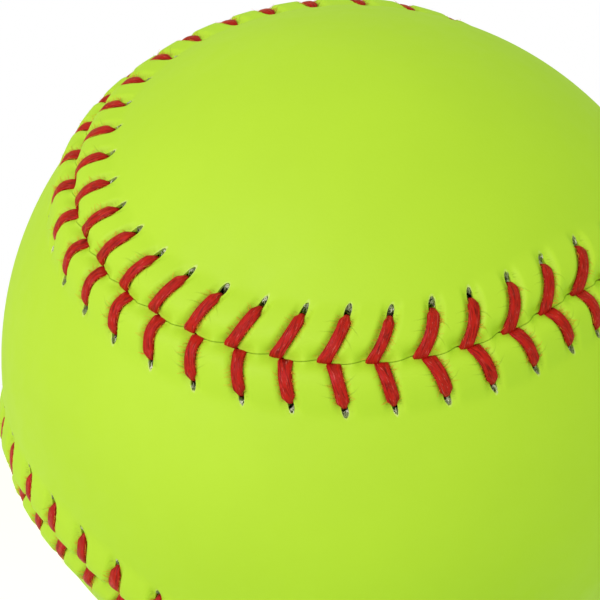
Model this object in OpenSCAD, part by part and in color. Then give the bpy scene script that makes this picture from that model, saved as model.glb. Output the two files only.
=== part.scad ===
/* [Ball] */
// Distance round the ball over the smooth cover
ball_round = 304.8; // [200:0.1:420]
// Turns that bring the seam to its place, about X, then Y, then Z
seam_turn = [95.5, -7.6, -59.1]; // [-180:0.1:180]

/* [Cover] */
// Width of a cover panel's waist, along the surface between its two seams
waist_w = 42; // [34:0.5:52]
// Thickness of the coloured skin
skin_t = 0.6; // [0.4:0.05:1]
// Thickness of the fibre backing under the skin
backing_t = 1.2; // [0.8:0.05:2]

/* [Stitching] */
// Stitches in each quarter of the seam
quarter_stitches = 22; // [14:2:24]
// Width of the flattened thread
thread_w = 1.6; // [1:0.05:2]
// Thickness of the flattened thread
thread_t = 0.7; // [0.4:0.05:0.9]
// From the seam to the middle of a stitch hole
hole_reach = 5.6; // [4.5:0.1:7.5]
// How far a hole of panel a lies behind the end of its stitch, along the seam
hole_lag_a = 0.2; // [0:0.1:3]
// The same for panel b
hole_lag_b = 1.1; // [0:0.1:4]

/* [Hidden] */
$fn = 96;

// Clearance between a thread and what it passes
thread_clear = 0.05;
// The panel edges stand apart by a thread's thickness, and the thread's hidden passes
// lie in the cement's thickness
seam_gap = thread_t + 4 * thread_clear;
cement_t = thread_t + 2 * thread_clear;
hole_d = norm([thread_w, thread_t]) + 2 * thread_clear;

// Radii, from the outside in
ball_r = ball_round / PI / 2;
backing_r = ball_r - skin_t;
cement_r = backing_r - backing_t;
core_r = cement_r - cement_t;

// The seam is four equal circle arcs on the ball, each round one lobe of a panel, and
// neighbouring circles touch. lobe_a is a circle's radius as an angle at the ball's
// middle. The lobes lie along a ring, and stand over and under it by lobe_rise in turn.
waist_a = angle_of(waist_w / 2);
seam_x = 2 + cos(2 * waist_a);
seam_y = sin(2 * waist_a);
lobe_a = (acos(-1 / norm([seam_x, seam_y])) - atan2(seam_y, seam_x)) / 2;
lobe_rise = 90 - waist_a - lobe_a;
// Half of the turn that the seam makes round a lobe
half_turn = acos(-tan(lobe_rise) / tan(lobe_a));

// Stitches along the whole seam, counted in the direction of sewing
stitches = 4 * quarter_stitches;
stitch_len = 2 * half_turn * PI / 180 * ball_r * sin(lobe_a) / quarter_stitches;
// Place of the first stitch after a lobe's start, as a share of one stitch
first_stitch_share = 0.217;
// The sewing wanders in slow waves along the seam: lengths of a cosine and a sine as long
// as two lobes, and of a cosine and a sine as long as one. For the ends of the stitches
// along the seam, then for the lag and the reach of the holes of panel a and panel b.
along_wave = [0, -0.9, -0.25, -0.1];
lag_waves = [[-0.4, 0.25, 0, 0.25], [1.9, 0, 0, 0]];
reach_waves = [[-0.1, 0.2, 0, -0.45], [-0.3, 0, -0.25, 0.7]];
// The stitches of the two panels go down into the seam this far apart
drop_step = thread_w + 4 * thread_clear;

// The cement stops this far from the seam, past the hidden passes of the threads
race_w = furthest_hole() + hole_d / 2;
// Cuts run this far past what they cut
past = ball_r;

skin_yellow = [0.80, 0.90, 0.16];
backing_white = [0.92, 0.92, 0.86];
thread_red = [0.72, 0.09, 0.12];
cement_tan = [0.86, 0.80, 0.62];
core_cream = [0.93, 0.88, 0.72];

// A length along the ball's surface as an angle at its middle
function angle_of(len) = len / (ball_round / PI / 2) * 180 / PI;

function unit(v) = v / norm(v);

function turned_y(p, a) = [
    p[0] * cos(a) + p[2] * sin(a), p[1], p[2] * cos(a) - p[0] * sin(a)
];
function turned_z(p, a) = [
    p[0] * cos(a) - p[1] * sin(a), p[0] * sin(a) + p[1] * cos(a), p[2]
];

// Even lobes belong to panel b and stand over the ring, odd ones to panel a and under it
function lobe_side(i) = i % 2 == 0 ? 1 : -1;
function lobe_spin(i) = i % 2 == 0 ? 180 : 0;
function lobe_tilt(i) = 90 - lobe_side(i) * lobe_rise;
function lobe_turn(i) = 45 + 90 * i;

// A point seen from lobe i: away from its middle, round it, and out from the ball's middle
function lobe_point(i, away, round, r) = turned_z(
    turned_y(
        turned_z(
            [r * sin(away) * cos(round), r * sin(away) * sin(round), r * cos(away)],
            lobe_spin(i)
        ),
        lobe_tilt(i)
    ),
    lobe_turn(i)
);

// The lobe that a place along the seam belongs to, the angle round that lobe, and the
// angle away from its middle. side_len counts towards panel a.
function lobe_at(s) = floor(s / quarter_stitches) % 4;
function share_at(s) = s / quarter_stitches - floor(s / quarter_stitches);
function round_at(s) = -lobe_side(lobe_at(s)) * (2 * share_at(s) - 1) * half_turn;
function away_at(s, side_len) = lobe_a + lobe_side(lobe_at(s)) * angle_of(side_len);
function seam_point(s, side_len, r) =
    lobe_point(lobe_at(s), away_at(s, side_len), round_at(s), r);

function wave_at(s, w) =
    let (a = s / quarter_stitches * 180)
    w[0] * cos(a) + w[1] * sin(a) + w[2] * cos(2 * a) + w[3] * sin(2 * a);

// Where a stitch ends in the seam, and where its hole is; side is 1 for panel a, -1 for b
function of_side(values, side) = values[side > 0 ? 0 : 1];
function even_place(k) = k + stitches + first_stitch_share;
function tip_place(k, side) =
    even_place(k)
    + (wave_at(even_place(k), along_wave) - of_side([drop_step, 0], side)) / stitch_len;
function hole_place(k, side) =
    tip_place(k, side)
    - (of_side([hole_lag_a, hole_lag_b], side)
        + wave_at(even_place(k), of_side(lag_waves, side))) / stitch_len;
function hole_out(k, side) =
    side * (hole_reach + wave_at(even_place(k), of_side(reach_waves, side)));
function furthest_hole() = max([
    for (k = [0 : stitches - 1]) each [hole_out(k, 1), -hole_out(k, -1)]
]);

module placed() {
    rotate(seam_turn) children();
}

module lobe_frame(i) {
    rotate([0, 0, lobe_turn(i)])
        rotate([0, lobe_tilt(i), 0])
            rotate([0, 0, lobe_spin(i)])
                children();
}

// Everything within an angle of lobe i's middle
module lobe_cone(i, a) {
    h = ball_r + past;
    lobe_frame(i) cylinder(h = h, r1 = 0, r2 = h * tan(a));
}

module shell(r_out, r_in) {
    difference() {
        sphere(r = r_out);
        sphere(r = r_in);
    }
}

// Half of the ball, over the ring of lobes for side 1 and under it for side -1
module half_ball(side) {
    l = ball_r + past;
    translate([0, 0, side * l / 2]) cube([2 * l, 2 * l, l], center = true);
}

// One layer of a panel between two radii, whose edge lies inset from the seam; own is the
// panel's first lobe. It is all that the other panel's two lobes leave, on the side of the
// ring where its waist is, and its own two lobes on the other side.
module layer(own, r_out, r_in, inset) {
    inset_a = angle_of(inset);
    difference() {
        shell(r_out, r_in);
        lobe_cone(own + 1, lobe_a + inset_a);
        lobe_cone(own + 3, lobe_a + inset_a);
        difference() {
            half_ball(lobe_side(own));
            lobe_cone(own, lobe_a - inset_a);
            lobe_cone(own + 2, lobe_a - inset_a);
        }
    }
}

module stitch_holes(side) {
    for (k = [0 : stitches - 1]) {
        s = hole_place(k, side);
        lobe_frame(lobe_at(s))
            rotate([0, away_at(s, hole_out(k, side)), round_at(s)])
                translate([0, 0, core_r])
                    cylinder(h = past, d = hole_d, $fn = 24);
    }
}

module cover_layer(own, side, r_out, r_in) {
    difference() {
        layer(own, r_out, r_in, seam_gap / 2);
        stitch_holes(side);
    }
}

// One stitch, as places along the seam, distances to the panel's side and radii: up out
// of the hole, over the cover, down into the seam, and on under the other panel
function stitch_path(k, side) =
    let (
        over = ball_r + thread_clear + thread_t / 2,
        under = core_r + cement_t / 2,
        hole = hole_place(k, side),
        out = hole_out(k, side),
        tip = tip_place(k, side),
        next = hole_place(k + 1, -side),
        next_out = hole_out(k + 1, -side)
    )
    [
        [hole, out, under],
        [hole, out, over],
        [(hole + tip) / 2, out / 2, over],
        [tip, 0, over],
        [tip, 0, under],
        [(tip + next) / 2, next_out / 2, under]
    ];

// A thread that changes panel at each stitch; first is the side of its first stitch. It
// is swept through its path's points, and a ring leans half-way between the two runs
// that it joins.
module thread(first) {
    path = [
        for (k = [0 : stitches - 1])
            each stitch_path(k, k % 2 == 0 ? first : -first)
    ];
    n = len(path);
    points = [for (p = path) seam_point(p[0], p[1], p[2])];
    ahead = [for (p = path) seam_point(p[0] + first_stitch_share / 10, p[1], p[2])];
    outline = [
        [1, 0], [0.5, 1], [-0.5, 1], [-1, 0], [-0.5, -1], [0.5, -1]
    ];
    rings = [
        for (j = [0 : n - 1])
            let (
                before = unit(points[j] - points[(j + n - 1) % n]),
                after = unit(points[(j + 1) % n] - points[j]),
                run = unit(before + after),
                thin = unit(cross(run, ahead[j] - points[j])),
                wide = cross(thin, run),
                half_w = thread_w / 2,
                half_t = thread_t / 2 / (run * after)
            )
                [for (q = outline) points[j] + wide * half_w * q[0] + thin * half_t * q[1]]
    ];
    m = len(outline);
    polyhedron(
        points = [for (ring = rings) each ring],
        faces = [
            for (j = [0 : n - 1])
                for (q = [0 : m - 1])
                    let (
                        a = j * m + q,
                        b = j * m + (q + 1) % m,
                        c = (j + 1) % n * m + q,
                        d = (j + 1) % n * m + (q + 1) % m
                    )
                        each [[a, b, c], [b, d, c]]
        ]
    );
}

// Moulded core that gives the ball its weight and bounce
module core() {
    color(core_cream) sphere(r = core_r);
}

module cement_a() {
    color(cement_tan) placed() layer(1, cement_r, core_r, race_w);
}

module cement_b() {
    color(cement_tan) placed() layer(0, cement_r, core_r, race_w);
}

module panel_a_backing() {
    color(backing_white) placed() cover_layer(1, 1, backing_r, cement_r);
}

module panel_a_skin() {
    color(skin_yellow) placed() cover_layer(1, 1, ball_r, backing_r);
}

module panel_b_backing() {
    color(backing_white) placed() cover_layer(0, -1, backing_r, cement_r);
}

module panel_b_skin() {
    color(skin_yellow) placed() cover_layer(0, -1, ball_r, backing_r);
}

module thread_a() {
    color(thread_red) placed() thread(1);
}

module thread_b() {
    color(thread_red) placed() thread(-1);
}

core();
cement_a();
cement_b();
panel_a_backing();
panel_a_skin();
panel_b_backing();
panel_b_skin();
thread_a();
thread_b();
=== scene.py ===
import math
import bpy
import numpy as np
from mathutils import Matrix, Vector
from mathutils.geometry import delaunay_2d_cdt


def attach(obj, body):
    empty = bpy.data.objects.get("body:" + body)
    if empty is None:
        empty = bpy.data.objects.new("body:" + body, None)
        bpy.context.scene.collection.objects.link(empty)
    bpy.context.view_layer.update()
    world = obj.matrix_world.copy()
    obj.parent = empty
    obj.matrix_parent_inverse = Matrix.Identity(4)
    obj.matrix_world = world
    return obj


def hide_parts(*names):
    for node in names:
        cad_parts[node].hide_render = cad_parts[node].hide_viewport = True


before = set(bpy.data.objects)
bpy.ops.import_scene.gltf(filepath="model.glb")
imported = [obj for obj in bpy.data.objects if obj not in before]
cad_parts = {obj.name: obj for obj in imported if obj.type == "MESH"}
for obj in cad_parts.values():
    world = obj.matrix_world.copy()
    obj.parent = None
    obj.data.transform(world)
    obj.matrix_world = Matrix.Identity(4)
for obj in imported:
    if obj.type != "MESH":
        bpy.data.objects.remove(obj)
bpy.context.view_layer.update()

mm = 0.001


def nodeRadius(name):
    # the ball's middle is the origin, so a node's outer radius is its furthest point
    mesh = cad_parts[name].data
    points = np.empty(3 * len(mesh.vertices))
    mesh.vertices.foreach_get("co", points)
    return np.linalg.norm(points.reshape(-1, 3), axis=1).max()


ballRadius = nodeRadius("panel_a_skin")
backingRadius = nodeRadius("panel_a_backing")
print("frame loaded, ball radius", round(ballRadius / mm, 2), "mm")

# the seam: four equal arcs that touch, each round one lobe of a panel
seam = {
    "waist": 42 * mm,             # across a panel's waist
    "turn": (95.5, -7.6, -59.1),  # degrees about X, then Y, then Z
    "perLobe": 22,                # stitches round one lobe
    "firstTip": 0.377,            # the first stitch's tip, in stitches from a lobe's start
    "sag": 0.5 * mm,              # how far the seam line hangs between two stitches
    "sagFade": 2.2 * mm,          # and about how far out the leather follows
    "spread": 0.12 * mm,          # how far an edge gives way to a thread
    "spreadFrom": 0.6 * mm,       # it ends between these distances along the seam
    "spreadTo": 0.95 * mm,
    "spreadFade": 0.5 * mm,
}
# the sewing wanders in slow waves along the seam, in mm: a cosine and a sine as long as two
# lobes, then a cosine and a sine as long as one. From "back" on there is one set for the legs
# on panel b (-1) and one for those on panel a (1)
wander = {
    "across": (0, 0.15, 0.1, -0.6),
    "along": (0, -0.9, -0.25, -0.1),
    "back": {-1: (2.47, 0.16, 0.16, -0.23), 1: (-0.52, 0.37, 0.38, 0.65)},
    "reach": {-1: (-0.5, 0, -0.2, 0.35), 1: (0, 0, 0, 0.15)},
    "seamEnd": {-1: (0.07, -0.14, 0.35, -0.15), 1: (-0.27, 0.14, 0.24, 0)},
    "bow": {-1: (0.3, -0.16, 0.66, -0.14), 1: (0.17, -0.15, 0.77, 0.35)},
}
stitchCount = 4 * seam["perLobe"]
# from the waist follow an arc's half angle, how far its axis rises, half its turn and the pitch
waistAngle = seam["waist"] / 2 / ballRadius
seamX = 2 + math.cos(2 * waistAngle)
seamY = math.sin(2 * waistAngle)
lobeAngle = (math.acos(-1 / math.hypot(seamX, seamY)) - math.atan2(seamY, seamX)) / 2
lobeRise = math.pi / 2 - waistAngle - lobeAngle
halfTurn = math.acos(-math.tan(lobeRise) / math.tan(lobeAngle))
pitch = 2 * halfTurn * ballRadius * math.sin(lobeAngle) / seam["perLobe"]


def turned(degrees, axis):
    return np.array(Matrix.Rotation(math.radians(degrees), 3, axis))


def lobeFrames():
    # the whole seam's turn, and axes for each lobe, whose arc runs round its Z
    tx, ty, tz = seam["turn"]
    whole = turned(tz, "Z") @ turned(ty, "Y") @ turned(tx, "X")
    frames = []
    for i in range(4):
        sign = 1 if i % 2 == 0 else -1
        tilt = 90 - sign * math.degrees(lobeRise)
        spin = 180 if sign > 0 else 0
        frames.append(whole @ turned(45 + 90 * i, "Z") @ turned(tilt, "Y") @ turned(spin, "Z"))
    return whole, np.array(frames)


wholeTurn, lobes = lobeFrames()


def unit(v):
    return v / np.linalg.norm(v, axis=-1, keepdims=True)


def dots(a, b):
    return np.einsum("ij,ij->i", a, b)


def wave(place, sizes):
    turn = np.pi * np.asarray(place, float) / seam["perLobe"]
    return mm * (sizes[0] * np.cos(turn) + sizes[1] * np.sin(turn)
                 + sizes[2] * np.cos(2 * turn) + sizes[3] * np.sin(2 * turn))


def onBall(place, across):
    # directions from the ball's middle; place counts stitches, across is towards panel a
    place = np.asarray(place, float)
    across = across + wave(place, wander["across"])
    lobe = np.floor(place / seam["perLobe"]).astype(int)
    share = place / seam["perLobe"] - lobe
    lobe = lobe % 4
    sign = np.where(lobe % 2 == 0, 1.0, -1.0)
    around = -sign * (2 * share - 1) * halfTurn
    away = lobeAngle + sign * across / ballRadius
    wide = np.sin(away)
    local = np.stack([wide * np.cos(around), wide * np.sin(around), np.cos(away)], -1)
    return np.einsum("...ij,...j->...i", lobes[lobe], local)


def smooth(x, low, high):
    x = np.clip((x - low) / (high - low), 0, 1)
    return x ** 3 * (x * (6 * x - 15) + 10)


# the stitches: each has one leg on panel a (side 1) and one on panel b (side -1)
stitches = {
    "tipBack": {-1: 0.96 * mm, 1: 2.08 * mm},   # middle of a leg's end, behind the stitch's tip
    "slitBack": {-1: 2.53 * mm, 1: 3.16 * mm},  # outer end of its slit, behind the tip
    "slitReach": 7.2 * mm,                      # and out from the seam
    "bare": {-1: 1.6 * mm, 1: 1.25 * mm},       # how much of a slit the thread leaves open
    "slitLength": {-1: 3.2 * mm, 1: 2.8 * mm},
    "slitWidth": 0.88 * mm,
    "slitAxis": 0.35,                           # share of a leg that gives its slit's direction
    "bow": {-1: 0.64 * mm, 1: -0.25 * mm},      # twice how far a leg's middle is pulled back
    "uneven": 0.12 * mm,                        # how far the outer ends stray
    "calmEnd": 3,                               # at the seam they stray this many times less
    "bowUneven": 1.5,                           # and a bow strays this many times more
    "lengthUneven": 1.2,                        # a slit's share longer, for each mm of that
    "lengthShares": (0.7, 1.3),
    "widthShares": (0.85, 1.12),
    "seed": 7,
}


def stitchPlan(side):
    draw = np.random.default_rng(stitches["seed"] + side)
    even = seam["firstTip"] + np.arange(stitchCount)
    tip = even + wave(even, wander["along"]) / pitch
    uneven = draw.normal(0, stitches["uneven"], (5, stitchCount))
    back = stitches["slitBack"][side] + wave(even, wander["back"][side]) + uneven[0]
    reach = stitches["slitReach"] + wave(even, wander["reach"][side]) + uneven[1]
    end = stitches["tipBack"][side] + wave(even, wander["seamEnd"][side])
    end -= uneven[2] / stitches["calmEnd"]
    seamEnd = np.stack([tip - end / pitch, 0 * tip], -1)
    slitEnd = np.stack([tip - back / pitch, side * reach], -1)
    pull = stitches["bow"][side] + wave(even, wander["bow"][side])
    bow = (seamEnd + slitEnd) / 2
    bow[:, 0] -= (pull + uneven[3] * stitches["bowUneven"]) / pitch
    longer = (1 + stitches["lengthUneven"] * uneven[4] / mm).clip(*stitches["lengthShares"])
    return {
        "seamEnd": seamEnd, "bow": bow, "slitEnd": slitEnd, "reach": reach,
        "legLength": np.hypot(reach, back - stitches["tipBack"][side]),
        "length": stitches["slitLength"][side] * longer,
        "width": stitches["slitWidth"] * draw.uniform(*stitches["widthShares"], stitchCount),
    }


plans = {side: stitchPlan(side) for side in (-1, 1)}


def stitchAt(place):
    # a place along the seam, counted in stitches from the first one's tip
    count = np.arange(-2, stitchCount + 3)
    even = seam["firstTip"] + count
    return np.interp(place, even + wave(even, wander["along"]) / pitch, count)


def legPoints(side, k, share):
    # points of leg k in place and across; share runs from the slit's outer end to the seam
    plan = plans[side]
    k = np.asarray(k) % stitchCount
    share = np.asarray(share, float)[..., None]
    return (plan["slitEnd"][k] * (1 - share) ** 2 + 2 * plan["bow"][k] * share * (1 - share)
            + plan["seamEnd"][k] * share ** 2)


def slitFrames(side):
    # the middle of every slit, its long axis and its cross axis, on the ball
    k = np.arange(stitchCount)
    outer = onBall(*legPoints(side, k, np.zeros(stitchCount)).T) * ballRadius
    share = np.full(stitchCount, stitches["slitAxis"])
    inner = onBall(*legPoints(side, k, share).T) * ballRadius
    axis = unit(outer - inner)
    middle = outer - axis * plans[side]["length"][:, None] / 2
    cross = unit(np.cross(middle, axis))
    axis = np.cross(cross, unit(middle))
    return middle, axis, cross


slits = {side: slitFrames(side) for side in (-1, 1)}
legParts = 8   # straight parts that a leg is measured by
farOff = 50.0  # stands for far from every slit


def stitchField(points, place, side):
    # for points on the ball: the nearest leg, how far they are off it and along it, and where
    # they are from the nearest slit's middle, also in half slits (rho)
    count = len(points)
    off, along, near = np.full(count, 1.0), np.zeros(count), np.zeros(count, int)
    rho, slitA, slitB = np.full(count, farOff), np.zeros(count), np.zeros(count)
    every = np.arange(stitchCount)
    line = [onBall(*legPoints(side, every, np.full(stitchCount, share)).T) * ballRadius
            for share in np.linspace(0, 1, legParts + 1)]
    first = np.floor(stitchAt(place)).astype(int)
    middle, axis, cross = slits[side]
    for step in (-1, 0, 1, 2):
        k = (first + step) % stitchCount
        run = np.zeros(count)
        for start, end in zip(line[:-1], line[1:]):
            part = (end - start)[k]
            length = np.linalg.norm(part, axis=1)
            t = np.clip(dots(points - start[k], part) / length ** 2, 0, 1)
            gap = points - start[k] - part * t[:, None]
            d = np.linalg.norm(gap, axis=1)
            sign = np.sign(dots(np.cross(points, part), gap))
            closer = d < np.abs(off)
            off = np.where(closer, d * np.where(sign == 0, 1, sign), off)
            along = np.where(closer, run + t * length, along)
            near = np.where(closer, k, near)
            run = run + length
        rel = points - middle[k]
        a, b = dots(rel, axis[k]), dots(rel, cross[k])
        r = np.hypot(a / (plans[side]["length"][k] / 2), b / (plans[side]["width"][k] / 2))
        closer = r < rho
        rho = np.where(closer, r, rho)
        slitA = np.where(closer, a, slitA)
        slitB = np.where(closer, b, slitB)
        near = np.where(closer & (r < 1.5), k, near)  # round a slit, its own leg counts
    return {"off": off, "along": along, "rho": rho, "a": slitA, "b": slitB, "near": near}


# the cover's shape near the seam
cover = {
    "crest": 1.25 * mm,        # height of the raised seam
    "crestFrom": 1.5 * mm,     # it falls off between these distances from the seam
    "crestTo": 8.6 * mm,
    "edgeRound": 0.13 * mm,    # the panel's edge turns down into the seam over this width
    "edgeDepth": 0.08 * mm,
    "edgeGap": 0.006 * mm,
    "edgeGapFade": 0.3 * mm,
    "dip": 0.78 * mm,          # how far it is drawn in along the seam
    "dipWidth": 1.5 * mm,
    "pillow": 0.25 * mm,       # how far the leather swells between threads
    "valley": 0.74 * mm,       # how deep a thread draws it in, from there
    "valleyFrom": 0.62 * mm,   # the valley's sides lie between these distances from the thread
    "valleyTo": 1.6 * mm,
    "bandFrom": 4.8 * mm,      # pillows and valleys end between these distances from the seam
    "bandTo": 8.0 * mm,
    "joinWidth": 2.8 * mm,     # two legs go down within this length of the seam
    "joinFade": 1.9 * mm,      # and both edges are drawn in there, up to so far beside it
    "shared": 0.9 * mm,        # and about this far out from the seam
    "rim": 0.07 * mm,          # raised lip round a slit, its place and width in half slits
    "rimAt": 1.3,
    "rimWidth": 0.35,
    "slitDip": 0.12 * mm,      # how far the leather is drawn in there
    "slitDipWidth": 0.5,
    "slitCut": 0.93,           # faces with their middle in this share of a slit are cut away
    "edgeRows": (0, 0.03, 0.08, 0.15, 0.24, 0.35, 0.48, 0.63, 0.8, 1.0),  # mesh rows, in mm
    "rowStep": 0.24 * mm,
    "denseTo": 8.6 * mm,
    "perStitch": 20,           # columns of the mesh for each stitch
    "outerRows": ((0.4, 10), (0.5, 10), (0.8, 5), (1.0, 5)),  # steps in mm, and columns
    "fillStep": 1.25 * mm,     # points of the plain part, and those of the inner face
    "underStep": 1.8 * mm,
    "underInset": 1.9 * mm,
    "clear": 0.3 * mm,         # how far these keep from the rows and slits
    "swell": 0.012 * mm,       # a cover is never quite true: slow waves over the whole ball
    "swellWaves": 10,
    "swellTurns": (2.5, 7.0),
    "swellSeed": 11,
}


def seamSag(place):
    # the seam line hangs towards panel a after each stitch's tip, up to the next stitch
    share = stitchAt(place) % 1
    return seam["sag"] * np.sin(np.pi * share)


def alongTo(place):
    # distance along the seam to the nearest stitch's tip
    share = stitchAt(place) % 1
    return np.minimum(share, 1 - share) * pitch


def edgeSpread(place, side):
    # the edge gives way where a leg goes down past it
    beside = alongTo(place + stitches["tipBack"][side] / pitch)
    return seam["spread"] * (1 - smooth(beside, seam["spreadFrom"], seam["spreadTo"]))


def acrossAt(place, out, side):
    # distance towards panel a of a mesh point that lies out from the seam line
    sag = seamSag(place) * np.exp(-out / seam["sagFade"])
    give = edgeSpread(place, side) * np.exp(-out / seam["spreadFade"])
    gap = cover["edgeGap"] * np.exp(-out / cover["edgeGapFade"])
    return side * (out + give + gap) + sag


def crestHeight(out):
    return cover["crest"] * (1 - smooth(out, cover["crestFrom"], cover["crestTo"]))


def bandShare(out):
    return 1 - smooth(out, cover["bandFrom"], cover["bandTo"])


def leatherHeight(out, place, field):
    valley = 1 - smooth(np.abs(field["off"]), cover["valleyFrom"], cover["valleyTo"])
    # along the seam both panels share one outline, drawn in where the legs go down
    half = cover["joinWidth"] / 2
    join = 1 - smooth(alongTo(place + half / pitch) - half, 0, cover["joinFade"])
    shared = np.exp(-(out / cover["shared"]) ** 2)
    valley = valley * (1 - shared) + join * shared
    height = crestHeight(out) + (cover["pillow"] - cover["valley"] * valley) * bandShare(out)
    height -= cover["dip"] * np.exp(-(out / cover["dipWidth"]) ** 2)
    # the slit's lip: drawn in round it, with a small raised rim
    lip = np.exp(-((field["rho"] - cover["rimAt"]) / cover["rimWidth"]) ** 2)
    drawn = np.exp(-(np.maximum(field["rho"] - 1, 0) / cover["slitDipWidth"]) ** 2)
    height += cover["rim"] * lip - cover["slitDip"] * drawn
    # the edge turns down into the seam
    share = 1 - np.clip(out / cover["edgeRound"], 0, 1)
    edge = np.sqrt(np.clip(1 - share ** 2, 0, 1))
    return height - cover["edgeDepth"] * (1 - edge)


def slowSwell(points):
    draw = np.random.default_rng(cover["swellSeed"])
    swell = np.zeros(len(points))
    for _ in range(cover["swellWaves"]):
        way = unit(draw.normal(size=3))
        swell += np.sin(points @ way * draw.uniform(*cover["swellTurns"]) + draw.uniform(0, 6.28))
    return swell * cover["swell"]


def panelFrame(side):
    # axes whose Z goes through the middle of the panel's waist
    toWaist = turned(0 if side > 0 else 180, "X")
    return wholeTurn @ toWaist


def flattened(points, side):
    # conformal map of the ball to a plane, centred on the panel's waist
    local = points @ panelFrame(side)
    return local[:, :2] / (1 + local[:, 2:3])


def inPanel(points, side, inset):
    # whether directions lie in a panel, at least inset from its seam
    angle = inset / ballRadius
    toLobe = np.arccos(np.clip(np.stack([points @ lobes[i][:, 2] for i in range(4)], -1), -1, 1))
    own = [0, 2] if side < 0 else [1, 3]
    other = [1, 3] if side < 0 else [0, 2]
    upper = (points @ wholeTurn)[:, 2] * -side > 0
    inOwn = (toLobe[:, own] < lobeAngle - angle).any(axis=1)
    clear = (toLobe[:, other] > lobeAngle + angle).all(axis=1)
    return clear & (~upper | inOwn)


def evenPoints(step):
    # an even spread of directions about that step apart; 0.87 is for their six-sided cells
    count = int(4 * np.pi * (ballRadius / step) ** 2 / 0.87)
    i = np.arange(count) + 0.5
    z = 1 - 2 * i / count
    turn = np.pi * (1 + 5 ** 0.5) * i
    r = np.sqrt(1 - z * z)
    return np.stack([r * np.cos(turn), r * np.sin(turn), z], -1)


def fillPanel(points, loops, extra, side):
    # triangles between closed loops of given points, with more points inside
    ids = np.concatenate([np.concatenate(loops), np.arange(len(points), len(points) + len(extra))])
    flat = flattened(np.concatenate([points, extra])[ids.astype(int)], side)
    edges = []
    start = 0
    for loop in loops:
        edges += [(start + j, start + (j + 1) % len(loop)) for j in range(len(loop))]
        start += len(loop)
    # 1 keeps what lies inside the loops; 1e-7 is how near two points may be in the flat map
    result = delaunay_2d_cdt([Vector(p) for p in flat], edges, [], 1, 1e-7)
    source = [ids[o[0]] if o else -1 for o in result[3]]
    return [[source[v] for v in face] for face in result[2]]


def boundaryLoops(faces):
    # closed loops of the edges that only one face has
    edges = dict.fromkeys((a, b) for face in faces for a, b in zip(face, face[1:] + face[:1]))
    after = {a: b for a, b in edges if (b, a) not in edges}
    found = []
    while after:
        first, here = after.popitem()
        loop = [first, here]
        while here in after:
            here = after.pop(here)
            if here != first:
                loop.append(here)
        found.append(loop)
    return found


def skinSheet(side):
    # the outer face near the seam: rows of points along it, coarser further out
    rows = [r * mm for r in cover["edgeRows"]]
    while rows[-1] < cover["denseTo"]:
        rows.append(rows[-1] + cover["rowStep"])
    perStitch = [cover["perStitch"]] * len(rows)
    for step, columns in cover["outerRows"]:
        rows.append(rows[-1] + step * mm)
        perStitch.append(columns)
    place, out, starts = [], [], []
    for distance, columns in zip(rows, perStitch):
        starts.append(sum(len(p) for p in place))
        place.append(np.arange(stitchCount * columns) / columns)
        out.append(np.full(stitchCount * columns, distance))
    faces = []
    for r in range(len(rows) - 1):
        a, b = starts[r], starts[r + 1]
        n = stitchCount * perStitch[r]
        if perStitch[r] == perStitch[r + 1]:
            faces += [[a + j, a + (j + 1) % n, b + (j + 1) % n, b + j] for j in range(n)]
        else:  # the next row has half as many columns
            m = n // 2
            for j in range(m):
                f0, f1, f2 = a + 2 * j, a + 2 * j + 1, a + (2 * j + 2) % n
                c0, c1 = b + j, b + (j + 1) % m
                faces += [[f0, f1, c0], [f1, c1, c0], [f1, f2, c1]]
    place, out = np.concatenate(place), np.concatenate(out)
    ways = onBall(place, acrossAt(place, out, side))
    field = stitchField(ways * ballRadius, place, side)
    return place, out, ways, field, faces, (starts[-1], rows[-1])


def cutSlits(ways, field, faces, side):
    # faces in a slit go, and the points round the opening move on to the slit's outline
    a, b, rho, near = field["a"], field["b"], field["rho"], field["near"]
    plan = plans[side]
    kept, gone = [], []
    for face in faces:
        inside = all(rho[i] < 3 for i in face)  # further off, its points may be by two slits
        if inside:
            k = near[face[0]]
            ma = sum(a[i] for i in face) / len(face)
            mb = sum(b[i] for i in face) / len(face)
            inside = (math.hypot(ma / (plan["length"][k] / 2), mb / (plan["width"][k] / 2))
                      < cover["slitCut"])
        (gone if inside else kept).append(face)
    rim = sorted(set(i for f in gone for i in f) & set(i for f in kept for i in f))
    middle, axis, cross = slits[side]
    k = near[rim]
    scale = 1 / rho[rim]
    moved = middle[k] + axis[k] * (a[rim] * scale)[:, None] + cross[k] * (b[rim] * scale)[:, None]
    ways[rim] = unit(moved)
    field["rho"][rim] = 1.0
    return kept


def addToScene(name, data, spot=(0, 0, 0), turn=None):
    made = bpy.data.objects.new(name, data)
    made.location = spot
    if turn:
        made.rotation_mode = "QUATERNION"
        made.rotation_quaternion = turn
    bpy.context.scene.collection.objects.link(made)
    return made


def meshObject(name, points, faces, attributes, material, sharp=None):
    mesh = bpy.data.meshes.new(name)
    mesh.from_pydata(points.tolist(), [], faces)
    for key, values in attributes.items():
        made = mesh.attributes.new(key, "FLOAT_VECTOR", "POINT")
        made.data.foreach_set("vector", np.ascontiguousarray(values, dtype=np.float32).ravel())
    mesh.polygons.foreach_set("use_smooth", [True] * len(mesh.polygons))
    if sharp:
        mesh.set_sharp_from_angle(angle=math.radians(sharp))
    mesh.materials.append(material)
    return addToScene(name, mesh)


def facesOut(points, faces):
    # turns all faces over if the first ones look inwards
    a, b, c = (points[[f[i] for f in faces[:50]]] for i in (0, 1, 2))
    if dots(np.cross(b - a, c - a), a).sum() < 0:
        return [f[::-1] for f in faces]
    return faces


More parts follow.
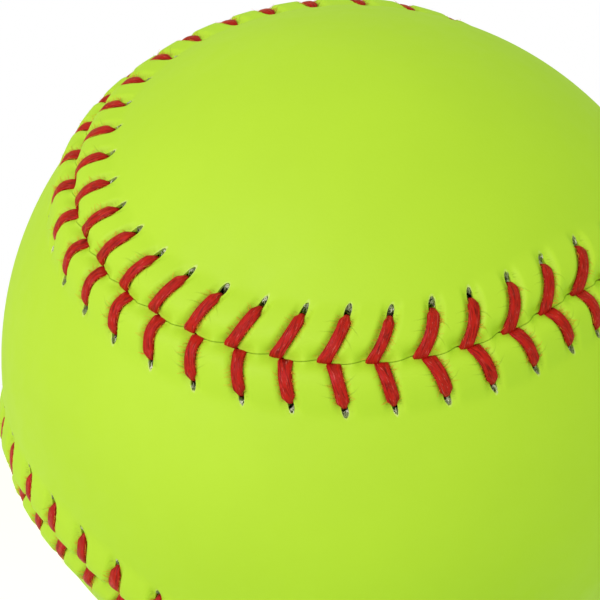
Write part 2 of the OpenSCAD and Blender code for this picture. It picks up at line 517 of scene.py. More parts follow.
def clearOfSlits(points, side):
    # those of the points that keep clear of the slits; the last term is for the far side
    middle, axis, cross = slits[side]
    for k in range(stitchCount):
        rel = points * ballRadius - middle[k]
        half = plans[side]["length"][k] / 2 + cover["clear"]
        wide = plans[side]["width"][k] / 2 + cover["clear"]
        points = points[(rel @ axis[k] / half) ** 2 + (rel @ cross[k] / wide) ** 2
                        + ((rel @ unit(middle[k])) / (5 * mm)) ** 2 > 1]
    return points


def innerSheet(ways, loops, under, side):
    # the inner face between the same loops, left open where a slit is
    faces = fillPanel(ways, [np.array(loop) for loop in loops], under, side)
    loopOf = {int(i): n for n, loop in enumerate(loops) for i in loop}
    longest = max(range(len(loops)), key=lambda n: len(loops[n]))
    return [f for f in faces
            if not (len({loopOf.get(int(i), -1) for i in f}) == 1
                    and loopOf.get(int(f[0]), longest) != longest)]


def makeSkin(name, side, material):
    place, out, ways, field, faces, (rimStart, rimOut) = skinSheet(side)
    faces = cutSlits(ways, field, faces, side)
    height = leatherHeight(out, place, field)
    rimLoop = np.arange(rimStart, len(place))
    extra = evenPoints(cover["fillStep"])
    extra = extra[inPanel(extra, side, rimOut + cover["fillStep"] + cover["clear"])]
    fill = fillPanel(ways, [rimLoop], extra, side)
    ways = np.concatenate([ways, extra])
    height = np.concatenate([height, np.zeros(len(extra))]) + slowSwell(ways)
    points = ways * (ballRadius + height)[:, None]
    faces = facesOut(points, faces) + facesOut(points, fill)
    used = sorted(set(i for f in faces for i in f))
    index = {old: new for new, old in enumerate(used)}
    faces = [[index[i] for i in f] for f in faces]
    points, ways = points[used], ways[used]

    # the inner face lies on the backing, and walls join the two at the seam and in the slits
    loops = boundaryLoops(faces)
    rims = np.concatenate(loops)
    under = evenPoints(cover["underStep"])
    under = clearOfSlits(under[inPanel(under, side, cover["underInset"])], side)
    base = len(points)
    lower = {int(i): base + n for n, i in enumerate(rims)}
    more = base + len(rims) - len(ways)
    innerFaces = [[lower[int(i)] if int(i) in lower else int(i) + more for i in f]
                  for f in innerSheet(ways, loops, under, side)]
    points = np.concatenate([points, ways[rims] * backingRadius, under * backingRadius])
    innerFaces = [f[::-1] for f in facesOut(points, innerFaces)]
    walls = [[j, i, lower[i], lower[j]]
             for loop in loops for i, j in zip(loop, loop[1:] + loop[:1])]

    def spreadOut(values, plain):
        # values of the rows' points, for all points
        full = np.full(len(points), plain, float)
        full[:base] = np.concatenate([values, np.full(len(extra), plain)])[used]
        full[base:base + len(rims)] = full[rims]
        return full

    along = spreadOut(field["along"] / mm, 0)
    seamField = np.stack([spreadOut(out / mm, 20), spreadOut(np.abs(field["off"]) / mm, 9),
                          spreadOut(field["rho"].clip(0, 9), 9)], -1)
    legField = np.stack([along, spreadOut(field["near"], 0), 0 * along], -1)
    piece = meshObject(name, points, faces + innerFaces + walls,
                       {"seamField": seamField, "legField": legField}, material, 55)
    print(name, len(points), "points", len(piece.data.polygons), "faces", len(loops), "loops")
    return piece


# the threads: flat bundles that come out of a slit, lie over the leather and dive in the seam
thread = {
    "width": {-1: 1.62 * mm, 1: 1.74 * mm},
    "thickness": 0.72 * mm,
    "widthShares": (0.92, 1.06),      # legs differ by this much
    "thicknessShares": (0.94, 1.08),
    "holeWidth": 0.85 * mm,           # it narrows where it comes up,
    "holeThickness": 0.75 * mm,
    "holeFrom": -0.7 * mm,            # between these distances out from that place
    "holeTo": 0.05 * mm,
    "flare": 0.1,                     # how much wider a leg gets as it turns along the seam
    "turnFrom": 0.2 * mm,             # it turns between these distances out from its dive
    "turnTo": 1.5 * mm,
    "sunk": 0.14 * mm,
    "around": 26,                     # points round it
    "legRings": 36,
    "yarns": 7,
    "yarnDepth": 0.075,
    "twist": 0.16,                    # turns of the bundle for each millimetre
    "oval": ((0.8, 0.35), (0.72, 0.2)),  # its outline's powers, and how much less as it dives
    "legStep": 1.7,                   # keeps the marks of one leg from going on in the next
    "deep": 2.2 * mm,                 # how far under the cover the hidden passes lie
    "hiddenRings": 6,
    "hiddenWidth": 1.3 * mm,
    "hiddenThickness": 0.7 * mm,
    "dive": {-1: -0.12 * mm, 1: 0.14 * mm},  # where its middle goes down, out from the seam
    "lap": {-1: 0.12 * mm, 1: -0.06 * mm},   # there the legs of panel b lie over those of a
    "lapFrom": 0.6 * mm,
    "lapTo": 2.0 * mm,
    "edgeLevel": 0.7 * mm,            # nearer the seam it keeps the height that it has here
    "seed": 23,
}

# a leg's path from under its slit to under the seam: a share of the distance from the seam
# to where it comes up, mm on from there (for no share, from where it dives), and its height
# over the leather there, or over the ball where the last value is 1
legShape = [
    (1, -0.05, -2.2, 1), (1, 0.04, -1.2, 1), (1, 0.05, -0.45, 0), (1, -0.04, -0.04, 0),
    (1, -0.27, 0.22, 0), (1, -0.65, 0.33, 0), (1, -1.2, 0.36, 0), (0.62, 0, 0.36, 0),
    (0.5, 0, 0.36, 0), (0.38, 0, 0.36, 0), (0, 1.35, 0.36, 0), (0, 0.9, 0.33, 0),
    (0, 0.55, 0.23, 0), (0, 0.25, 0.0, 0), (0, 0.1, -0.35, 0), (0, 0.04, -0.7, 1),
    (0, 0.02, -1.4, 1), (0, 0, -2.2, 1),
]


def smoothLine(keys, count, steps=8):
    # a smooth curve through rows of numbers, sampled evenly by length
    keys = np.asarray(keys, float)
    padded = np.concatenate([[2 * keys[0] - keys[1]], keys, [2 * keys[-1] - keys[-2]]])
    line = []
    for i in range(len(keys) - 1):
        p0, p1, p2, p3 = padded[i:i + 4]
        for t in np.linspace(0, 1, steps, endpoint=False):
            line.append(0.5 * (2 * p1 + (p2 - p0) * t + (2 * p0 - 5 * p1 + 4 * p2 - p3) * t * t
                               + (3 * p1 - p0 - 3 * p2 + p3) * t ** 3))
    line.append(keys[-1])
    line = np.array(line)
    length = np.concatenate([[0], np.cumsum(np.linalg.norm(np.diff(line[:, :2], axis=0), axis=1))])
    at = np.linspace(0, length[-1], count)
    return np.stack([np.interp(at, length, line[:, c]) for c in range(line.shape[1])], -1)


def legRings(side):
    # middle, cross direction, width, thickness and turn of every ring of every leg of a side
    plan, rings = plans[side], thread["legRings"]
    bare = stitches["bare"][side] / plan["legLength"]
    rise = plan["reach"] * (1 - bare) - thread["holeThickness"] / 2
    typical = rise.mean() / mm
    keys = []
    for part, more, lift, overBall in legShape:
        more += 0 if part else thread["dive"][side] / mm
        keys.append((part * typical + more, lift, part, more, overBall))
    shape = smoothLine(keys, rings)
    lift, part, more, overBall = np.tile(shape[:, 1:], (stitchCount, 1)).T
    k = np.repeat(np.arange(stitchCount), rings)
    out = part * rise[k] + more * mm
    share, fine = np.empty(len(k)), np.linspace(0, 1, 200)
    for n in range(stitchCount):
        reached = legPoints(side, np.full(len(fine), n), fine)[:, 1] * side
        share[k == n] = np.interp(-out[k == n], -reached, fine)
    place = legPoints(side, k, share)[:, 0]
    across = side * out + seamSag(place) * np.exp(-np.maximum(out, 0) / seam["sagFade"])
    ways = onBall(place, across)
    field = stitchField(ways * ballRadius, place, side)
    field["rho"] = np.full(len(k), farOff)  # a leg doesn't follow the lip of its slit
    level = leatherHeight(np.maximum(out, thread["edgeLevel"]), place, field)
    lap = thread["lap"][side] * (1 - smooth(out, thread["lapFrom"], thread["lapTo"]))
    blend = smooth(overBall, 0, 1)
    height = (1 - blend) * (level + lift * mm + lap - thread["sunk"]) + blend * (lift * mm)
    # its width lies across the leg, and turns along the seam where the leg dives
    bit, seamBit = 0.02, 0.05  # of a leg and of a stitch, to either side
    ahead = onBall(*legPoints(side, k, (share + bit).clip(0, 1)).T)
    behind = onBall(*legPoints(side, k, (share - bit).clip(0, 1)).T)
    wide = unit(np.cross(ways, unit(ahead - behind)))
    seamWay = unit(onBall(place + seamBit, across) - onBall(place - seamBit, across))
    seamWay = seamWay * np.sign(dots(seamWay, wide))[:, None]
    turn = 1 - smooth(out - thread["dive"][side], thread["turnFrom"], thread["turnTo"])
    wide = unit(wide * (1 - turn[:, None]) + seamWay * turn[:, None])
    atHole = smooth(out, rise[k] + thread["holeFrom"], rise[k] + thread["holeTo"])
    width = thread["width"][side] * (1 - atHole) + thread["holeWidth"] * atHole
    width = width * (1 + thread["flare"] * turn)
    thick = thread["thickness"] * (1 - atHole) + thread["holeThickness"] * atHole
    middle = ways * (ballRadius + height)[:, None]
    return [a.reshape(stitchCount, rings, *a.shape[1:]) for a in (middle, wide, width, thick, turn)]


legs = {side: legRings(side) for side in (-1, 1)}


def makeThread(name, first, material):
    # a thread changes panel at every stitch, and its first leg is on the side given
    draw = np.random.default_rng(thread["seed"] + first)
    t = np.linspace(0, 1, thread["hiddenRings"] + 2)[1:-1, None]
    plain = np.ones(len(t))
    parts = []
    for k in range(stitchCount):
        side = first if k % 2 == 0 else -first
        middle, wide, width, thick, turn = (values[k] for values in legs[side])
        parts.append((middle, wide, width * draw.uniform(*thread["widthShares"]),
                      thick * draw.uniform(*thread["thicknessShares"]), turn))
        # the hidden pass to the other panel, under the cover
        nextMiddle, nextWide = (values[(k + 1) % stitchCount][0] for values in legs[-side][:2])
        flip = np.sign(wide[-1] @ nextWide) or 1
        under = unit(middle[-1] * (1 - t) + nextMiddle * t) * (ballRadius - thread["deep"])
        parts.append((under, unit(wide[-1] * (1 - t) + flip * nextWide * t),
                      plain * thread["hiddenWidth"], plain * thread["hiddenThickness"], 0 * plain))
    middles, wides, widths, thicks, turns = (np.concatenate(values) for values in zip(*parts))
    signs = np.sign(dots(wides, np.roll(wides, 1, axis=0)))
    signs[signs == 0] = 1
    wides = wides * np.cumprod(np.concatenate([[1], signs[1:]]))[:, None]
    run = unit(np.roll(middles, -1, axis=0) - np.roll(middles, 1, axis=0))
    thin = unit(np.cross(run, wides))
    wides = unit(np.cross(thin, run))
    step = np.linalg.norm(middles - np.roll(middles, 1, axis=0), axis=1)
    travel = np.cumsum(step) - step[0]

    # the bundle's outline: a flat oval, grooved between its yarns
    n, rings = thread["around"], len(middles)
    angle = 2 * np.pi * (np.arange(n) + 0.5) / n - np.pi / 2
    twist = 2 * np.pi * thread["twist"] * travel / mm
    yarnTurn = thread["yarns"] / 2 * (angle[None, :] + twist[:, None] / thread["yarns"])
    groove = 1 - thread["yarnDepth"] * (1 - np.abs(np.sin(yarnTurn)))
    points = middles[:, None]
    for part, way, size, (plainOval, squarer) in ((np.cos(angle), wides, widths, thread["oval"][0]),
                                                  (np.sin(angle), thin, thicks, thread["oval"][1])):
        oval = np.sign(part) * np.abs(part) ** (plainOval - squarer * turns[:, None])
        points = points + way[:, None] * (oval * groove * size[:, None] / 2)[..., None]
    shift = 0 if wides[0] @ wides[-1] > 0 else n // 2
    faces = []
    for r in range(rings):
        a, b = r * n, (r + 1) % rings * n
        s = shift if r == rings - 1 else 0
        faces += [[a + j, a + (j + 1) % n, b + (j + 1 + s) % n, b + (j + s) % n] for j in range(n)]
    share = np.tile((np.arange(n) + 0.5) / n, rings)
    leg = np.arange(rings) // (thread["legRings"] + thread["hiddenRings"])
    legMark = np.repeat(leg * thread["legStep"], n)
    yarn = np.stack([share, np.repeat(travel / mm, n), legMark], -1)
    piece = meshObject(name, points.reshape(-1, 3), faces, {"yarn": yarn}, material)
    print(name, rings * n, "points", len(faces), "faces")
    return piece


def addStrand(points, faces, line, up, radius, sides):
    # a thin tube along a line, closed at both ends
    turn = 2 * np.pi * np.arange(sides) / sides
    run = unit(np.gradient(line, axis=0))
    flat = unit(np.cross(run, up))
    stand = np.cross(flat, run)
    ring = (np.cos(turn)[None, :, None] * flat[:, None]
            + np.sin(turn)[None, :, None] * stand[:, None])
    rings = len(line)
    base = len(points) * rings * sides
    points.append((line[:, None] + ring * radius[:, None, None]).reshape(-1, 3))
    for r in range(rings - 1):
        for j in range(sides):
            i, n = base + r * sides, (j + 1) % sides
            faces.append([i + j, i + n, i + sides + n, i + sides + j])
    faces.append([base + j for j in range(sides)][::-1])
    faces.append([base + (rings - 1) * sides + j for j in range(sides)])


# fine hairs that stand out from the sides of the legs and lie over the leather
hair = {
    "count": 32,
    "radius": (0.022 * mm, 0.036 * mm),
    "taper": 0.6,
    "length": (0.3 * mm, 1.1 * mm),
    "root": 0.45,         # where they start, as a share of a leg's width out from its middle
    "lift": 0.13 * mm,    # and how far over it
    "lean": 0.5,          # typical angle to straight out, then how far a hair bends
    "bend": 0.25,
    "rise": (0.15, 0.62),
    "legRings": (9, 27),  # rings of a leg that have them
    "rings": 5,
    "sides": 3,
    "orange": (0.86, 0.38, 0.02),
    "mottle": {"Scale": 700.0, "Amount": 0.8},
    "seed": 57,
}


def makeHairs(name, side, material):
    draw = np.random.default_rng(hair["seed"] + side)
    middles, wides, widths = legs[side][:3]
    t = np.linspace(0, 1, hair["rings"])
    points, faces = [], []
    for k in range(stitchCount):
        ups, runs = unit(middles[k]), unit(np.gradient(middles[k], axis=0))
        for _ in range(hair["count"]):
            r = draw.integers(*hair["legRings"])
            out = wides[k, r] * draw.choice((-1, 1))
            length = draw.uniform(*hair["length"])
            angle = draw.normal(0, hair["lean"]) + draw.normal(0, hair["bend"]) * t
            way = out * np.cos(angle)[:, None] + runs[r] * np.sin(angle)[:, None]
            line = middles[k, r] + out * widths[k, r] * hair["root"] + way * (length * t)[:, None]
            lift = hair["lift"] + draw.uniform(*hair["rise"]) * length * t
            line = line + ups[r] * lift[:, None]
            radius = draw.uniform(*hair["radius"]) * (1 - hair["taper"] * t)
            addStrand(points, faces, line, ups[r], radius, hair["sides"])
    piece = meshObject(name, np.concatenate(points), faces, {}, material)
    print(name, len(faces), "faces")
    return piece


# torn fibres of the backing that show in the slits
fibre = {
    "count": 9,
    "radius": (0.03 * mm, 0.06 * mm),
    "length": (0.3 * mm, 0.9 * mm),
    "start": (0.58, 1.02),    # along a slit, in half slits towards its outer end
    "aside": (-0.75, 0.75),
    "lean": 0.35,             # typical angle to the slit
    "curl": 0.12 * mm,
    "high": (-0.32, -0.02),   # height of its start to the leather, in mm
    "arch": 0.12 * mm,
    "droop": 0.35 * mm,
    "rings": 6,
    "sides": 5,
    "dark": (0.26, 0.32, 0.16),
    "pale": (0.78, 0.82, 0.66),
    "mottle": {"Scale": 900.0, "Amount": 1.4},
    "seed": 41,
}


def makeFibres(name, side, material):
    draw = np.random.default_rng(fibre["seed"] + side)
    middle, axis, cross = slits[side]
    plan = plans[side]
    points, faces = [], []
    t = np.linspace(0, 1, fibre["rings"])
    bend = np.sin(np.pi * t)
    bareOut = plan["reach"] - stitches["bare"][side] / 2
    level = crestHeight(bareOut) + (cover["pillow"] - cover["valley"]) * bandShare(bareOut)
    for k in range(stitchCount):
        up = unit(middle[k])
        half, wide = plan["length"][k] / 2, plan["width"][k] / 2
        for _ in range(fibre["count"]):
            length = draw.uniform(*fibre["length"])
            lean = draw.normal(0, fibre["lean"])
            a = draw.uniform(*fibre["start"]) * half - length * t * math.cos(lean)
            b = draw.uniform(*fibre["aside"]) * wide + length * t * math.sin(lean)
            b += draw.normal(0, fibre["curl"]) * bend
            room = np.sqrt((1 - (a / half) ** 2).clip(0.02, 1)) * wide
            b = room * np.tanh(b / room)  # they stay inside the slit
            high = draw.uniform(*fibre["high"]) * mm
            high = high + fibre["arch"] * bend - fibre["droop"] * t ** 2
            line = middle[k] + axis[k] * a[:, None] + cross[k] * b[:, None]
            line = unit(line) * (ballRadius + level[k] + high)[:, None]
            radius = draw.uniform(*fibre["radius"]) * np.sqrt(1 - 0.9 * (2 * t - 1) ** 2)
            addStrand(points, faces, line, up, radius, fibre["sides"])
    piece = meshObject(name, np.concatenate(points), faces, {}, material)
    print(name, len(faces), "faces")
    return piece


# materials
def newMaterial(name):
    material = bpy.data.materials.new(name)
    material.use_nodes = True
    tree = material.node_tree
    return material, tree, tree.nodes["Principled BSDF"]


def finished(tree, shader, colour, roughness, height=None, strength=0.5, depth=0.1 * mm):
    feed(tree, shader.inputs["Base Color"], colour)
    feed(tree, shader.inputs["Roughness"], roughness)
    if height:
        bump = node(tree, "ShaderNodeBump",
                    {"Strength": strength, "Distance": depth, "Height": height})
        feed(tree, shader.inputs["Normal"], bump.outputs[0])


def feed(tree, socket, value):
    # links a socket, or gives it a fixed number or colour
    if isinstance(value, bpy.types.NodeSocket):
        tree.links.new(value, socket)
    else:
        socket.default_value = (*value, 1.0) if socket.type == "RGBA" else value


def node(tree, kind, inputs=None, **settings):
    made = tree.nodes.new(kind)
    for key, value in settings.items():
        setattr(made, key, value)
    for key, value in (inputs or {}).items():
        feed(tree, made.inputs[key], value)
    return made


def maths(tree, operation, *values):
    return node(tree, "ShaderNodeMath", dict(enumerate(values)), operation=operation).outputs[0]


def product(tree, first, *others):
    for other in others:
        first = maths(tree, "MULTIPLY", first, other)
    return first


def ramp(tree, value, low, high, outLow=0.0, outHigh=1.0):
    limits = {"From Min": low, "From Max": high, "To Min": outLow, "To Max": outHigh}
    return node(tree, "ShaderNodeMapRange", {"Value": value, **limits},
                interpolation_type="SMOOTHSTEP").outputs["Result"]


def fade(tree, value, low, high, most=1.0):
    # a ramp that falls to 0
    return ramp(tree, value, high, low, 0.0, most)


def mixColour(tree, factor, a, b):
    made = node(tree, "ShaderNodeMix", {"Factor": factor}, data_type="RGBA")
    feed(tree, made.inputs[6], a)
    feed(tree, made.inputs[7], b)
    return made.outputs[2]


def noise(tree, where, scale, detail=3.0, rough=0.55):
    return node(tree, "ShaderNodeTexNoise", {"Vector": where, "Scale": scale, "Detail": detail,
                                             "Roughness": rough}).outputs[0]


def objectPlace(tree):
    return node(tree, "ShaderNodeTexCoord").outputs["Object"]


def attribute(tree, name):
    made = node(tree, "ShaderNodeAttribute", attribute_name=name)
    return node(tree, "ShaderNodeSeparateXYZ", {0: made.outputs["Vector"]}).outputs


def vector(tree, *values):
    return node(tree, "ShaderNodeCombineXYZ", dict(enumerate(values))).outputs[0]


def newGroup(name, inputs, outputs):
    tree = bpy.data.node_groups.new(name, "ShaderNodeTree")
    for key, kind, value in inputs:
        made = tree.interface.new_socket(key, in_out="INPUT", socket_type=kind)
        if value is not None:
            made.default_value = value
    for key, kind in outputs:
        tree.interface.new_socket(key, in_out="OUTPUT", socket_type=kind)
    return tree, tree.nodes.new("NodeGroupInput"), tree.nodes.new("NodeGroupOutput")


def grainGroup():
    # pebbled grain: the height of cells with a finer noise on them, and where the pores lie
    tree, entry, end = newGroup("fineGrain", [("Scale", "NodeSocketFloat", 2000.0)],
                                [("Height", "NodeSocketFloat"), ("Pores", "NodeSocketFloat")])
    where = objectPlace(tree)
    bend = node(tree, "ShaderNodeTexNoise", {"Vector": where, "Scale": 900.0, "Detail": 2.0})
    offset = node(tree, "ShaderNodeVectorMath", {0: bend.outputs[1], "Scale": 0.35 * mm},
                  operation="SCALE").outputs[0]
    moved = node(tree, "ShaderNodeVectorMath", {0: where, 1: offset}, operation="ADD").outputs[0]
    cells = node(tree, "ShaderNodeTexVoronoi", {"Vector": moved, "Scale": entry.outputs["Scale"]},
                 feature="SMOOTH_F1").outputs["Distance"]
    fine = noise(tree, moved, 5200.0, 2.0)
    height = maths(tree, "ADD", product(tree, cells, -0.8), product(tree, fine, 0.45))
    feed(tree, end.inputs["Height"], height)
    feed(tree, end.inputs["Pores"], ramp(tree, cells, 0.55, 0.8))
    return tree


def mottleGroup():
    # slow change of a colour's depth over the surface
    tree, entry, end = newGroup(
        "mottle", [("Color", "NodeSocketColor", None), ("Scale", "NodeSocketFloat", 60.0),
                   ("Amount", "NodeSocketFloat", 0.05)], [("Color", "NodeSocketColor")])
    slow = node(tree, "ShaderNodeTexNoise", {"Vector": objectPlace(tree), "Detail": 4.0,
                                             "Scale": entry.outputs["Scale"]}).outputs[0]
    share = maths(tree, "SUBTRACT", slow, 0.5)
    gain = maths(tree, "MULTIPLY_ADD", share, entry.outputs["Amount"], 1.0)
    scaled = node(tree, "ShaderNodeVectorMath", {0: entry.outputs["Color"], "Scale": gain},
                  operation="SCALE")
    feed(tree, end.inputs["Color"], scaled.outputs[0])
    return tree


fineGrain = grainGroup()
mottle = mottleGroup()


def placed(tree, group, **values):
    made = node(tree, "ShaderNodeGroup", node_tree=group)
    for key, value in values.items():
        feed(tree, made.inputs[key], value)
    return made.outputs


leather = {
    "yellow": (0.472, 0.79, 0.030),
    "groove": (0.29, 0.50, 0.012),     # painted shade down in the seam
    # painted shade in the creases, and in the wrinkles
    "creaseShade": (0.28, 0.50, 0.012),
    "stretched": (0.72, 0.86, 0.34),   # round the outer ends of the slits
    "wrinkleShadeShare": 0.45,              # how much of the painted crease shade the wrinkles have
    "creaseShadeShare": 0.6,
    "creaseAt": ((2.1, 1.2), (3.9, 1.4)),  # mm along a leg to each: the least, and how much more
    "creaseBend": 0.16,
    "creaseWidth": 0.13,               # mm
    "creaseFrom": (0.5, 0.8),          # mm from the middle of the thread
    "creaseTo": (1.0, 2.8),
    "wrinkleFrom": (0.6, 0.75),
    "wrinkleTo": (0.85, 1.25),
    "wrinkleOut": (5.4, 7.2),          # they end between these, in mm from the seam
    "seamShadeOut": (0.02, 0.14),
    "haloOut": (5.6, 6.8),             # the stretched colour begins between these
    "haloRound": (1.02, 1.3),          # and ends between these, in half slits
    "grain": 1900.0,                   # cells in a metre
    "grainHeight": 0.35,
    "wrinkleDepth": -1.6,
    "creaseDepth": -2.4,
    "roughness": (0.58, 0.68),
    "mottle": {"Scale": 45.0, "Amount": 0.10},
}


def leatherMaterial():
    material, tree, shader = newMaterial("opticLeather")
    out, off, rho = attribute(tree, "seamField")
    along, leg, _ = attribute(tree, "legField")
    where = objectPlace(tree)
    colour = placed(tree, mottle, Color=leather["yellow"], **leather["mottle"])[0]

    # wrinkles that run out from the sides of each thread
    sides = vector(tree, product(tree, along, 5.0), product(tree, off, 0.7), leg)
    wrinkles = product(tree, ramp(tree, off, *leather["wrinkleFrom"]),
                       fade(tree, off, *leather["wrinkleTo"]),
                       fade(tree, out, *leather["wrinkleOut"]),
                       ramp(tree, noise(tree, sides, 1.0, 2.0), 0.52, 0.66))
    # some legs have two fine, bent creases that run out on both sides
    white = node(tree, "ShaderNodeTexWhiteNoise", {"W": leg}, noise_dimensions="1D")
    draws = node(tree, "ShaderNodeSeparateColor", {0: white.outputs["Color"]}).outputs
    run = maths(tree, "SUBTRACT", along, product(tree, off, off, leather["creaseBend"]))
    gaps = []
    for draw, (least, more) in zip(draws, leather["creaseAt"]):
        centre = maths(tree, "MULTIPLY_ADD", draw, more, least)
        gaps.append(maths(tree, "ABSOLUTE", maths(tree, "SUBTRACT", run, centre)))
    gap = maths(tree, "MINIMUM", *gaps)
    creases = product(tree, fade(tree, gap, 0.0, leather["creaseWidth"]),
                      ramp(tree, off, *leather["creaseFrom"]),
                      fade(tree, off, *leather["creaseTo"]), ramp(tree, draws[2], 0.4, 0.6))
    halo = product(tree, fade(tree, rho, *leather["haloRound"]),
                   ramp(tree, out, *leather["haloOut"]),
                   ramp(tree, noise(tree, where, 1400.0, 2.0), 0.35, 0.65, 0.15, 0.65))
    # painted shade in the wrinkles, down in the seam and in the creases, then the stretched colour
    # round the slits
    for share, other in ((product(tree, wrinkles, leather["wrinkleShadeShare"]), "creaseShade"),
                         (fade(tree, out, *leather["seamShadeOut"], 0.7), "groove"),
                         (product(tree, creases, leather["creaseShadeShare"]), "creaseShade"),
                         (halo, "stretched")):
        colour = mixColour(tree, share, colour, leather[other])

    grain = placed(tree, fineGrain, Scale=leather["grain"])["Height"]
    height = product(tree, grain, leather["grainHeight"])
    height = maths(tree, "MULTIPLY_ADD", wrinkles, leather["wrinkleDepth"], height)
    height = maths(tree, "MULTIPLY_ADD", creases, leather["creaseDepth"], height)
    roughness = ramp(tree, noise(tree, where, 300.0), 0.2, 0.8, *leather["roughness"])
    shader.inputs["IOR"].default_value = 1.45
    finished(tree, shader, colour, roughness, height, depth=0.05 * mm)
    return material


waxedRed = {
    "red": (0.49, 0.011, 0.006),
    "deep": (0.18, 0.003, 0.002),    # painted shade between the fibres
    "highlightRed": (0.72, 0.042, 0.040),  # painted highlight in patches, where the thread is also smoother
    "highlightSpecks": (0.80, 0.26, 0.22),       # painted highlight specks
    "fibres": 34.0,                  # how fine the fibres are round the thread
    "roughness": (0.62, 0.40),       # plain, and in the patches of painted highlight
    "specular": 0.16,
}


def threadMaterial():
    material, tree, shader = newMaterial("waxedThread")
    around, travel, leg = attribute(tree, "yarn")
    spun = maths(tree, "MULTIPLY_ADD", travel, thread["twist"] / thread["yarns"], around)
    fine = vector(tree, product(tree, spun, waxedRed["fibres"]), product(tree, travel, 0.55), leg)
    coarse = vector(tree, product(tree, spun, 9.0), product(tree, travel, 0.8), leg)
    streak = noise(tree, fine, 1.0, 3.0, 0.6)
    patch = noise(tree, coarse, 1.0, 2.0)
    highlightSpecks = ramp(tree, noise(tree, fine, 1.7, 2.0), 0.62, 0.72, 0.0, 0.5)
    # painted shade between the fibres, where the bump is low
    colour = mixColour(tree, ramp(tree, streak, 0.32, 0.56), waxedRed["deep"], waxedRed["red"])
    # painted highlight in patches
    colour = mixColour(tree, ramp(tree, patch, 0.55, 0.8, 0.0, 0.55), colour, waxedRed["highlightRed"])
    # painted highlight specks
    colour = mixColour(tree, highlightSpecks, colour, waxedRed["highlightSpecks"])
    roughness = ramp(tree, patch, 0.3, 0.7, *waxedRed["roughness"])
    shader.inputs["Specular IOR Level"].default_value = waxedRed["specular"]
    finished(tree, shader, colour, roughness, streak, strength=0.7, depth=0.05 * mm)
    return material


felt = {
    "pale": (0.80, 0.82, 0.72),
    "between": (0.12, 0.14, 0.07),  # painted shade between its fibres
    "deep": (0.025, 0.035, 0.012),  # painted shade down in the stitch holes
    "holeShadeFrom": 0.05 * mm,
    "holeShadeTo": 0.5 * mm,
    "roughness": 0.95,
    "mottle": {"Scale": 300.0, "Amount": 0.5},
}


def feltMaterial():
    # pale fibre backing, with painted shade between its fibres and down in the stitch holes
    material, tree, shader = newMaterial("backingFelt")
    where = objectPlace(tree)
    radius = node(tree, "ShaderNodeVectorMath", {0: where}, operation="LENGTH").outputs["Value"]
    depth = maths(tree, "SUBTRACT", backingRadius, radius)
    fibres = noise(tree, where, 2600.0, 3.0)
    colour = placed(tree, mottle, Color=felt["pale"], **felt["mottle"])[0]
    # painted shade between the fibres, where the bump is low
    colour = mixColour(tree, ramp(tree, fibres, 0.62, 0.42), colour, felt["between"])
    # painted shade, darker the deeper a point lies under the backing's face
    deep = ramp(tree, depth, felt["holeShadeFrom"], felt["holeShadeTo"])
    colour = mixColour(tree, deep, colour, felt["deep"])
    finished(tree, shader, colour, felt["roughness"], fibres, strength=0.8)
    return material


def fibreMaterial():
    material, tree, shader = newMaterial("tornFibre")
    pale = ramp(tree, noise(tree, objectPlace(tree), 800.0, 2.0), 0.54, 0.6)
    colour = placed(tree, mottle, Color=fibre["dark"], **fibre["mottle"])[0]
    finished(tree, shader, mixColour(tree, pale, colour, fibre["pale"]), 0.9)
    return material


def hairMaterial():
    material, tree, shader = newMaterial("strayHair")
    colour = placed(tree, mottle, Color=hair["orange"], **hair["mottle"])[0]
    finished(tree, shader, colour, 0.8)
    return material


cement = {
    "colour": (0.62, 0.52, 0.30),
    "mottle": {"Scale": 120.0, "Amount": 0.5},
    "strokes": 420.0,           # brush marks, to a metre
    "roughness": (0.35, 0.65),
}


def cementMaterial():
    material, tree, shader = newMaterial("driedCement")
    strokes = noise(tree, objectPlace(tree), cement["strokes"], 4.0)
    colour = placed(tree, mottle, Color=cement["colour"], **cement["mottle"])[0]
    roughness = ramp(tree, strokes, 0.3, 0.7, *cement["roughness"])
    finished(tree, shader, colour, roughness, strokes, strength=0.6, depth=0.2 * mm)
    return material


core = {
    "colour": (0.80, 0.70, 0.44),
    "pores": (0.42, 0.33, 0.16),
    "mottle": {"Scale": 80.0, "Amount": 0.25},
    "grain": 1300.0,
    "roughness": 0.7,
}


def coreMaterial():
    material, tree, shader = newMaterial("mouldedCore")
    grain, pores = placed(tree, fineGrain, Scale=core["grain"])
    colour = placed(tree, mottle, Color=core["colour"], **core["mottle"])[0]
    colour = mixColour(tree, product(tree, pores, 0.6), colour, core["pores"])
    finished(tree, shader, colour, core["roughness"], grain)
    return material


leatherLook = leatherMaterial()
threadLook = threadMaterial()
feltLook = feltMaterial()
fibreLook = fibreMaterial()
hairLook = hairMaterial()
looks = {"panel_a_backing": feltLook, "panel_b_backing": feltLook, "core": coreMaterial()}
looks["cement_a"] = looks["cement_b"] = cementMaterial()
for name, look in looks.items():
    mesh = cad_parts[name].data
    mesh.materials.clear()
    mesh.materials.append(look)
print("materials made")

pieces = []
for letter, side in (("A", 1), ("B", -1)):
    skin = makeSkin("skin" + letter, side, leatherLook)
    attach(skin, "root")
    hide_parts("panel_" + letter.lower() + "_skin")
    pieces.append(skin)
for letter, first in (("A", 1), ("B", -1)):
    sewn = makeThread("thread" + letter, first, threadLook)
    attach(sewn, "root")
    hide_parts("thread_" + letter.lower())
    pieces.append(sewn)

for letter, side in (("A", 1), ("B", -1)):
    torn = makeFibres("slitFibres" + letter, side, fibreLook)
    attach(torn, "root")
    pieces.append(torn)
    stray = makeHairs("strayHairs" + letter, side, hairLook)
    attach(stray, "root")
    pieces.append(stray)

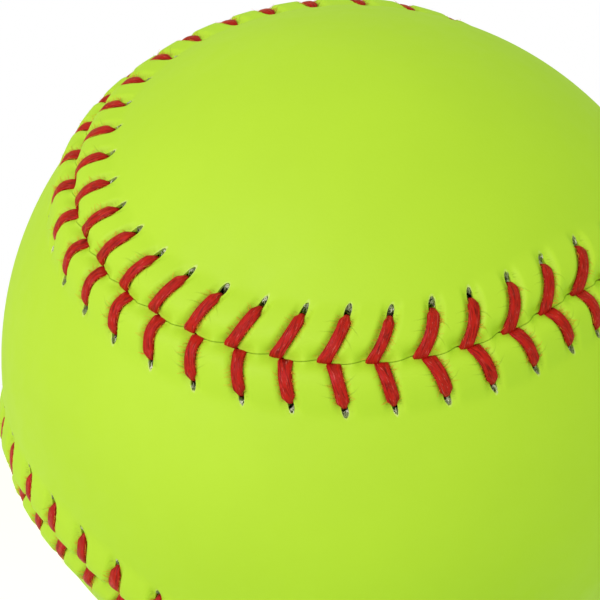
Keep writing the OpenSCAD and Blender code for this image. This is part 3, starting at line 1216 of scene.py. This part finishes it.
# floor, light and camera
studio = {
    "floor": 3.0,                       # its side, in metres
    "white": (0.95, 0.95, 0.95),
    "floorGlow": 0.5,                   # what the camera sees on top of its lit colour
    "world": 0.73,                      # light from all round
    "tint": (0.96, 1.0, 0.61),
    "lamp": (-0.70, -0.98, 0.16),       # a large soft lamp in front, on the left
    "lampSize": 1.0,
    "lampPower": 8.2,
    "lampColour": (1.0, 0.74, 1.25),
}


def seenBy(tree, *kinds):
    # 1 for light paths of these kinds
    path = node(tree, "ShaderNodeLightPath")
    seen = path.outputs["Is Camera Ray"]
    for kind in kinds:
        seen = maths(tree, "MAXIMUM", seen, path.outputs[kind])
    return seen


def makeFloor():
    # the camera and mirrors see the floor brighter than it lights the ball
    low = min(v.co.z for p in pieces for v in p.data.vertices)
    half = studio["floor"] / 2
    mesh = bpy.data.meshes.new("floor")
    corners = [(-half, -half, low), (half, -half, low), (half, half, low), (-half, half, low)]
    mesh.from_pydata(corners, [], [(0, 1, 2, 3)])
    material, tree, shader = newMaterial("floorWhite")
    finished(tree, shader, studio["white"], 0.8)
    seen = seenBy(tree, "Is Glossy Ray", "Is Transmission Ray")
    glow = node(tree, "ShaderNodeEmission", {"Color": (1, 1, 1),
                                             "Strength": product(tree, seen, studio["floorGlow"])})
    both = node(tree, "ShaderNodeAddShader", {0: shader.outputs[0], 1: glow.outputs[0]})
    tree.links.new(both.outputs[0], tree.nodes["Material Output"].inputs["Surface"])
    mesh.materials.append(material)
    addToScene("floor", mesh)


def makeWorld():
    world = bpy.data.worlds.new("studio")
    bpy.context.scene.world = world
    world.use_nodes = True
    tree = world.node_tree
    seen = seenBy(tree, "Is Transmission Ray")
    strength = node(tree, "ShaderNodeMapRange",
                    {"Value": seen, "To Min": studio["world"], "To Max": 1.0}).outputs[0]
    back = tree.nodes["Background"].inputs
    feed(tree, back["Color"], mixColour(tree, seen, studio["tint"], (1, 1, 1)))
    feed(tree, back["Strength"], strength)


def makeLamp():
    lamp = bpy.data.lights.new("keyLeft", "AREA")
    lamp.shape = "DISK"
    lamp.size = studio["lampSize"]
    lamp.energy = studio["lampPower"]
    lamp.color = studio["lampColour"]
    addToScene("keyLeft", lamp, studio["lamp"], Vector(studio["lamp"]).to_track_quat("Z", "Y"))


# the ball's outline in the photograph is a circle, in a frame of 600 pixels
photo = {"side": 600, "middle": (352.7, 357.0), "radius": 351.8, "distance": 561.8 * mm}


def makeCamera():
    away = photo["distance"]
    focal = photo["radius"] * math.sqrt((away / ballRadius) ** 2 - 1)
    spot = Vector((0, -away, 0))
    aim = Vector(((photo["side"] / 2 - photo["middle"][0]) / focal * away, 0,
                  (photo["middle"][1] - photo["side"] / 2) / focal * away))
    camera = bpy.data.cameras.new("camera")
    camera.sensor_width = 36
    camera.lens = focal / photo["side"] * camera.sensor_width
    camera.clip_start = 0.01
    camera.clip_end = 20
    turn = (aim - spot).to_track_quat("-Z", "Y")
    bpy.context.scene.camera = addToScene("camera", camera, spot, turn)


makeFloor()
makeWorld()
makeLamp()
makeCamera()
bpy.context.scene.view_settings.view_transform = "Standard"

print("scene ready")
